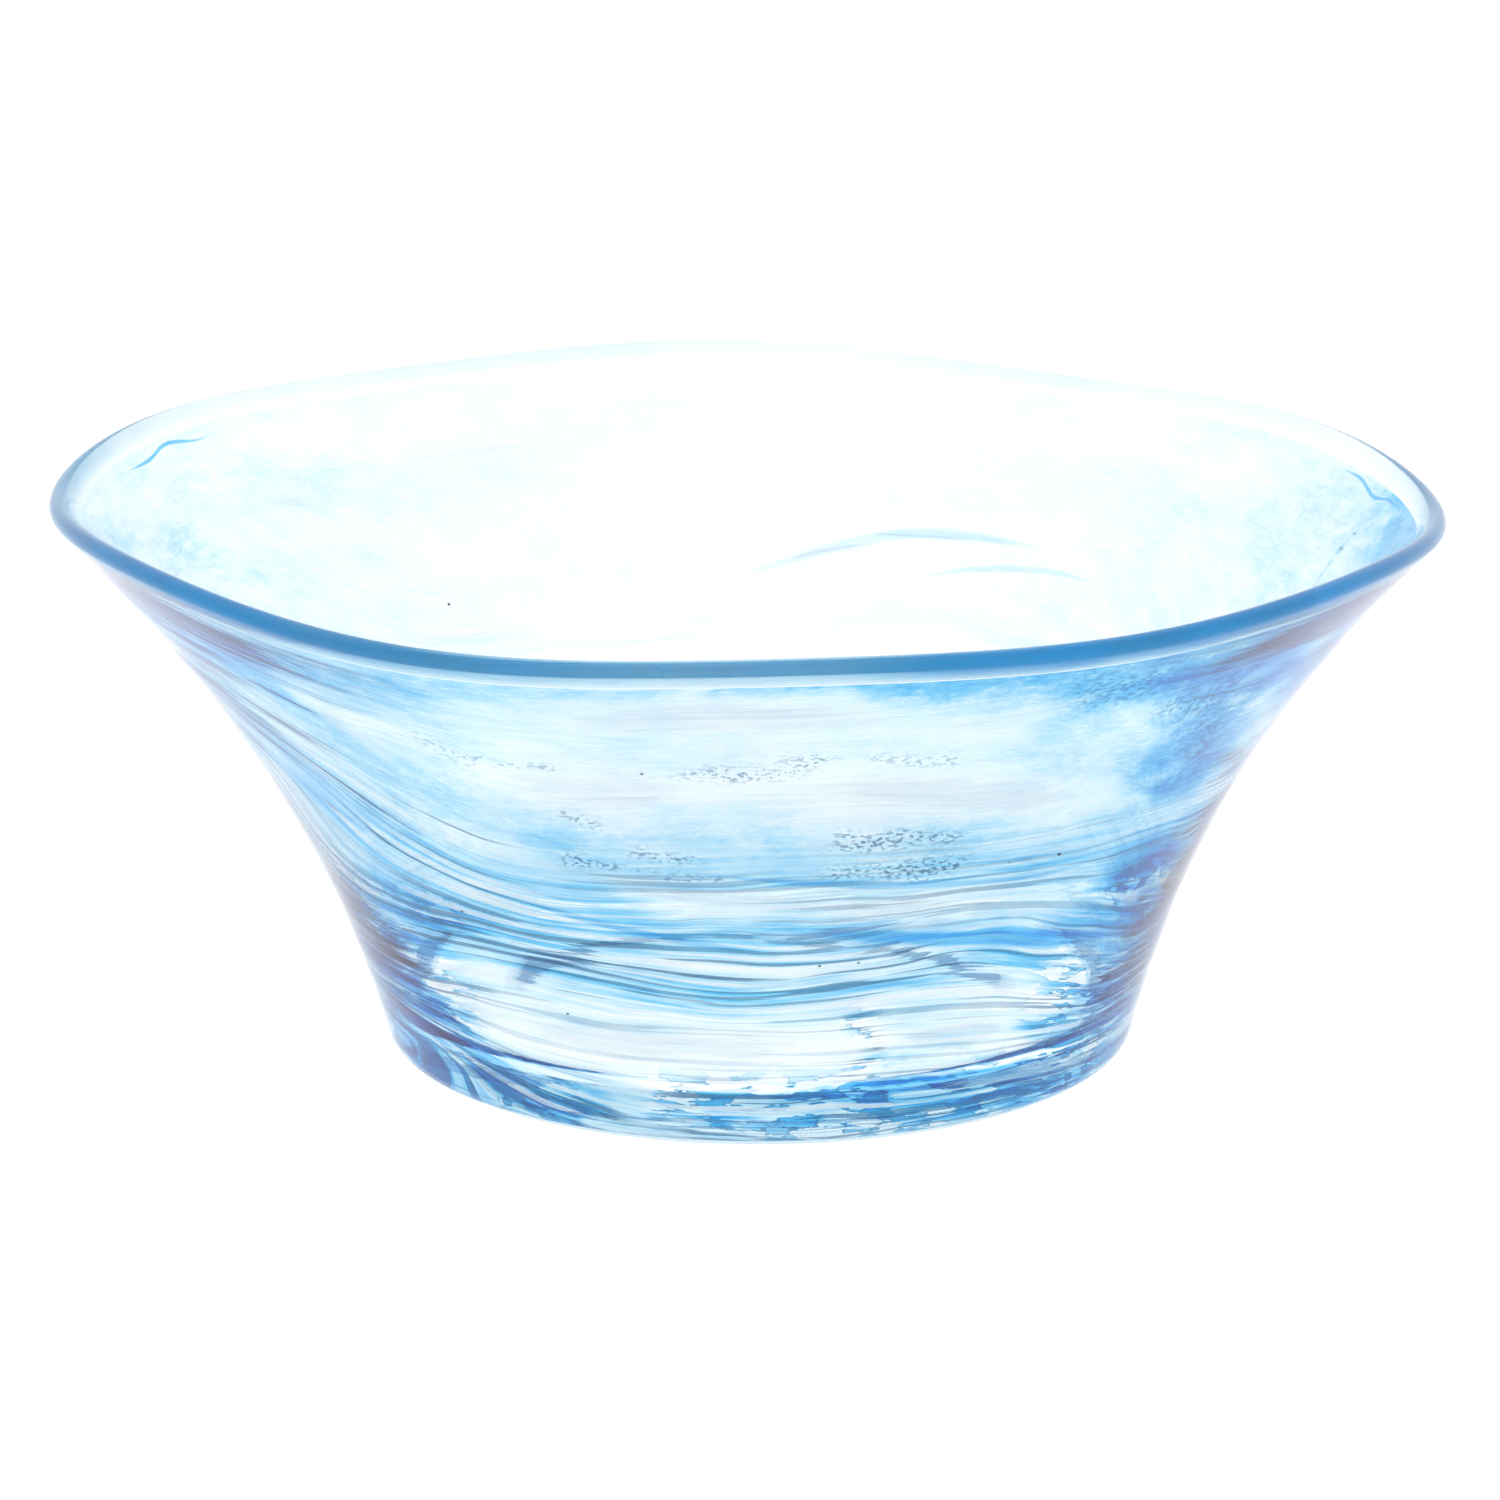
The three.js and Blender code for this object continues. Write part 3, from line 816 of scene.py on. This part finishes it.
def floor_material():
    """A white acrylic table, lit from below."""
    n = Nodes("pale_floor")
    place = n.add("ShaderNodeTexCoord").outputs["Object"]
    shade = n.ramp(n.noise(place, 3.0, 2.0), ((0.3, (0.97, 0.975, 0.98)), (0.7, (1.0, 1.0, 1.0))))
    glow = n.add("ShaderNodeEmission")
    n.wire(shade, glow.inputs["Color"])
    glow.inputs["Strength"].default_value = FLOOR_GLOW
    return n.finish(glow.outputs[0])


# ---------------------------------------------------------------- the trails

MILK, PALE, BLUE, DEEP = "milk_glass", "pale_blue_glass", "blue_glass", "deep_blue_glass"

TRAILS = (
    # Upper wall
    ("left_pale_veil", PALE, 12, ((206, 0.88), (220, 0.87), (234, 0.86), (246, 0.87))),
    ("upper_white_veil", MILK, 9, ((250, 0.87), (268, 0.88), (286, 0.87))),
    ("right_shoulder_veil", BLUE, 12, ((300, 0.87), (314, 0.85), (328, 0.8), (342, 0.74))),
    ("right_cheek_trail", PALE, 7, ((315, 0.7), (324, 0.66), (336, 0.6), (348, 0.54))),
    ("right_rim_streak", PALE, 2.6, ((3, 0.66), (8, 0.76), (10, 0.86), (9, 0.93))),
    ("left_white_cloud", MILK, 12, ((242, 0.71), (254, 0.715), (267, 0.725))),
    ("right_white_cloud", MILK, 11, ((271, 0.725), (285, 0.71), (298, 0.67), (311, 0.62))),
    ("back_white_veil", MILK, 13, ((100, 0.84), (128, 0.8), (160, 0.82))),
    ("back_curl_trail", PALE, 3, ((48, 0.68), (60, 0.7), (72, 0.69), (86, 0.63), (98, 0.57))),
    # Middle of the wall
    ("left_upper_sweep", PALE, 3.6, ((186, 0.84), (200, 0.77), (214, 0.68), (228, 0.615))),
    ("left_lower_sweep", PALE, 3, ((192, 0.7), (206, 0.62), (220, 0.54), (232, 0.5))),
    ("white_ribbon", MILK, 4.8,
     ((232, 0.585), (248, 0.54), (264, 0.5), (282, 0.475), (300, 0.45), (314, 0.43))),
    ("cyan_thread", BLUE, 2.2,
     ((252, 0.575), (264, 0.547), (278, 0.523), (292, 0.505), (307, 0.495), (322, 0.51))),
    ("main_blue_trail", DEEP, 5.6,
     ((262, 0.45), (280, 0.42), (295, 0.39), (310, 0.355), (326, 0.315), (343, 0.26))),
    ("lower_cyan_trail", BLUE, 2.4, ((237, 0.475), (248, 0.44), (262, 0.405), (277, 0.38))),
    ("right_blue_knot", DEEP, 6, ((318, 0.43), (328, 0.385), (340, 0.335), (352, 0.29))),
    ("back_blue_trail", BLUE, 6, ((20, 0.44), (60, 0.41), (98, 0.4), (132, 0.44), (166, 0.52))),
    # Low on the wall
    ("middle_striae_trail", PALE, 5, ((232, 0.335), (255, 0.33), (280, 0.32), (305, 0.295))),
    ("left_deep_trail", DEEP, 6, ((186, 0.38), (200, 0.345), (214, 0.33), (228, 0.325))),
    ("left_heel_trail", DEEP, 8, ((196, 0.24), (208, 0.225), (219, 0.2), (229, 0.175))),
    ("low_white_patch", MILK, 10, ((230, 0.2), (248, 0.2), (265, 0.2), (282, 0.2))),
    ("right_low_patch", MILK, 8, ((288, 0.2), (298, 0.19), (308, 0.19))),
    ("right_low_trail", BLUE, 8, ((312, 0.2), (326, 0.19), (340, 0.18))),
    ("base_sweep_trail", BLUE, 4.4, ((192, 0.165), (208, 0.145), (222, 0.12), (236, 0.092), (250, 0.072))),
    ("base_right_trail", DEEP, 4.4, ((256, 0.1), (274, 0.105), (292, 0.108), (310, 0.105), (328, 0.11))),
    ("back_low_trail", BLUE, 6, ((8, 0.2), (50, 0.17), (92, 0.15), (134, 0.17), (170, 0.21))),
)

TRAIL_LOOKS = {  # density, milkiness, strength of threads, darkness of the painted shade lines that stand in for refraction
    MILK: (0.0, 0.22, 0.1, 0.1),
    PALE: (0.14, 0.05, 1.0, 0.6),
    BLUE: (0.30, 0.0, 1.2, 0.6),
    DEEP: (0.46, 0.0, 1.5, 0.7),
}

SMOOTH_TRAILS = {"main_blue_trail": 0.25, "white_ribbon": 0.45, "cyan_thread": 0.35,
                 "lower_cyan_trail": 0.4, "back_curl_trail": 0.3}

FAINT_TRAILS = {"back_white_veil": 0.4, "back_blue_trail": 0.15, "back_low_trail": 0.12}


def lip_ring():
    """The blue wrap at the mouth: a closed ring just under the lip's surface."""
    around, rounds = RING_GRID
    turn = np.linspace(0, 2 * math.pi, rounds, endpoint=False)
    bearing = np.linspace(0, 2 * math.pi, around, endpoint=False)
    wall_length = math.hypot(float(outer_growth(LIP_AT)), LIP_TOP)
    radius, height = wall_point(LIP_AT - RING_DROP / wall_length, WALL / 2)
    lean = math.atan2(LIP_TOP, float(outer_growth(LIP_AT)))
    along = (LIP_RADIUS - RING_INSET + RING_DROP) * np.cos(turn) * 0.98
    through = (WALL / 2 - RING_INSET) * np.sin(turn)
    r = radius + along * math.cos(lean) + through * math.sin(lean)
    z = height + along * math.sin(lean) - through * math.cos(lean)
    angle, rr = np.meshgrid(bearing, r)
    zz = np.repeat(z[:, None], around, 1)
    points = hand_shape(turned_points(angle, rr, zz))
    ring = make_mesh("lip_wrap_glass", points, grid_faces(len(turn), around, True, True),
                     wall_attributes(angle.ravel(), np.full(angle.size, 0.97)))
    degrees = wrap_deg(angle).ravel()
    strength = RING_FAINTEST
    for share, middle, reach in RING_STRONG:
        strength = strength + share * bump(degrees, middle, reach)
    fade = smooth((np.repeat(np.cos(turn), around) + 1.3) / 1.9)
    strength = strength * (0.12 + 0.88 * fade)
    set_attribute(ring, "strength", strength)
    return ring


def finish_piece(obj, materials, slot, *nodes):
    for material in materials:
        obj.data.materials.append(material)
    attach(obj, "root")
    if nodes:
        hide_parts(*nodes)


def colour_wash(back):
    wash = wall_sheet("drawn_blue_wash", WASH_DEPTH, WASH_SPAN, WASH_GRID, wash_paint)
    finish_piece(wash, (wash_material(), back), PALE)


def lining_paint(bearing, t, flow):
    """Where the milk lining is cloudy."""
    clouds = soft_noise(flow * [3.5, 3.5, 7.0] + 20.0, 3)
    milkiness = LINING_MILK * (0.25 + 0.75 * smooth((clouds - 0.25) / 0.4)) * smooth((t - 0.06) / 0.14)
    low_back = bump(np.degrees(bearing) % 360, 90, 110) * (1 - smooth((t - 0.18) / 0.2))
    milkiness = np.maximum(milkiness, LOW_BACK_MILK * low_back)
    return {"milkiness": milkiness, "shade": soft_noise(flow * [5.0, 5.0, 15.0] + 60.0, 2)}


def milk_lining(back):
    lining = wall_sheet("milk_lining", LINING_DEPTH, LINING_SPAN, LINING_GRID, lining_paint)
    finish_piece(lining, (lining_material(), back), MILK)


# Thin strands beside the trails: the curl's second strand, and squiggles under the lip
STRANDS = (
    ("back_curl_strand", PALE, 1.8, ((42, 0.645), (52, 0.66), (63, 0.645), (73, 0.605))),
    ("left_lip_squiggle", DEEP, 0.9, ((146, 0.935), (151, 0.925), (156, 0.935), (161, 0.925), (168, 0.93))),
    ("right_lip_squiggle", DEEP, 0.9, ((4, 0.925), (9, 0.935), (13, 0.925), (18, 0.935), (24, 0.93))),
)

# Seeds, small dark specks shut in the glass: (bearing, height fraction, radius in mm)
SEEDS = ((260, 0.75, 0.32), (278, 0.35, 0.28), (283, 0.352, 0.24), (307, 0.523, 0.4), (231, 0.405, 0.3),
         (300, 0.525, 0.22), (318, 0.62, 0.25), (243, 0.232, 0.25), (130, 0.60, 0.3), (60, 0.35, 0.25))


def seed_specks():
    points, faces, rings, round_count = [], [], 7, 10
    for bearing, t, size in SEEDS:
        radius, height = wall_point(t, SEED_DEPTH)
        centre = turned_points(np.radians([bearing]), np.array([radius]), np.array([height]))[0]
        first = len(points)
        across = np.linspace(0.05, math.pi - 0.05, rings)
        around = np.linspace(0, 2 * math.pi, round_count, endpoint=False)
        for w in across:
            for v in around:
                ball = [math.sin(w) * math.cos(v), math.sin(w) * math.sin(v), math.cos(w)]
                points.append(centre + size * np.array(ball) * [1.0, 1.0, 0.8])
        faces += [tuple(first + k for k in f) for f in grid_faces(rings, round_count, wrap_columns=True)]
        faces += [tuple(first + k for k in reversed(range(round_count))),
                  tuple(first + (rings - 1) * round_count + k for k in range(round_count))]
    points = np.array(points)
    flow = {"flow": points / 100.0}
    return make_mesh("seed_specks", hand_shape(points), [tuple(reversed(f)) for f in faces], flow)


def build_bowl():
    finish_piece(glass_body(), (clear_glass(),), "clear_glass", "inner_gather", "outer_casing", "base_gather")
    finish_piece(lip_ring(), (lip_material(),), BLUE, "lip_wrap")
    back = film_back()
    looks = {slot: trail_material(slot + "_trail", *TRAIL_LOOKS[slot]) for slot in TRAIL_LOOKS}
    for name, slot, width, path in TRAILS:
        trail = trail_mesh(name + "_glass", width, path, ragged=SMOOTH_TRAILS.get(name, 1.0),
                           amount=FAINT_TRAILS.get(name, 1.0))
        finish_piece(trail, (looks[slot], back), slot, name)
    for name, slot, width, path in STRANDS:
        finish_piece(trail_mesh(name, width, path, ragged=0.3), (looks[slot], back), slot)
    finish_piece(seed_specks(), (seed_material(),), DEEP)
    colour_wash(back)
    milk_lining(back)


# ---------------------------------------------------------------- camera, light and floor

LOOK_AT = Vector((0.35, 0.0, 51.8)) * MM
CAMERA_DISTANCE = 1.140
CAMERA_ELEVATION = math.radians(15.35)
CAMERA_LENS = 157.4
CAMERA_SENSOR = 36.0

FLOOR_GLOW = 1.2
STUDIO_FRONT = 0.95
STUDIO_BACK = 1.06


def make_camera():
    data = bpy.data.cameras.new("camera")
    data.lens = CAMERA_LENS
    data.sensor_width = CAMERA_SENSOR
    data.clip_start = 0.05
    camera = bpy.data.objects.new("camera", data)
    direction = Vector((0.0, -math.cos(CAMERA_ELEVATION), math.sin(CAMERA_ELEVATION)))
    camera.location = LOOK_AT + direction * CAMERA_DISTANCE
    camera.rotation_euler = direction.to_track_quat("Z", "Y").to_euler()
    bpy.context.scene.collection.objects.link(camera)
    bpy.context.scene.camera = camera


def make_floor():
    size, z = 6.0, -0.0002
    mesh = bpy.data.meshes.new("floor")
    corners = [(-size, -size, z), (size, -size, z), (size, size, z), (-size, size, z)]
    mesh.from_pydata(corners, [], [(0, 1, 2, 3)])
    floor = bpy.data.objects.new("floor", mesh)
    mesh.materials.append(floor_material())
    bpy.context.scene.collection.objects.link(floor)


def make_light():
    """An even white studio: bright behind and above, a little darker on the camera's side."""
    world = bpy.data.worlds.new("studio")
    bpy.context.scene.world = world
    world.use_nodes = True
    tree = world.node_tree
    tree.nodes.clear()
    coordinates = tree.nodes.new("ShaderNodeTexCoord")
    split = tree.nodes.new("ShaderNodeSeparateXYZ")
    tree.links.new(coordinates.outputs["Generated"], split.inputs[0])
    ramp = tree.nodes.new("ShaderNodeMapRange")
    ramp.inputs["From Min"].default_value = -0.9
    ramp.inputs["From Max"].default_value = 0.1
    ramp.inputs["To Min"].default_value = STUDIO_FRONT
    ramp.inputs["To Max"].default_value = STUDIO_BACK
    tree.links.new(split.outputs["Y"], ramp.inputs["Value"])
    background = tree.nodes.new("ShaderNodeBackground")
    background.inputs["Color"].default_value = (1, 1, 1, 1)
    tree.links.new(ramp.outputs[0], background.inputs["Strength"])
    out = tree.nodes.new("ShaderNodeOutputWorld")
    tree.links.new(background.outputs[0], out.inputs["Surface"])


def render_quality():
    scene = bpy.context.scene
    scene.view_settings.view_transform = "Standard"
    scene.cycles.max_bounces = 48
    scene.cycles.transmission_bounces = 40
    scene.cycles.glossy_bounces = 40
    scene.cycles.diffuse_bounces = 12
    scene.cycles.transparent_max_bounces = 160


make_camera()
build_bowl()
make_floor()
make_light()
render_quality()
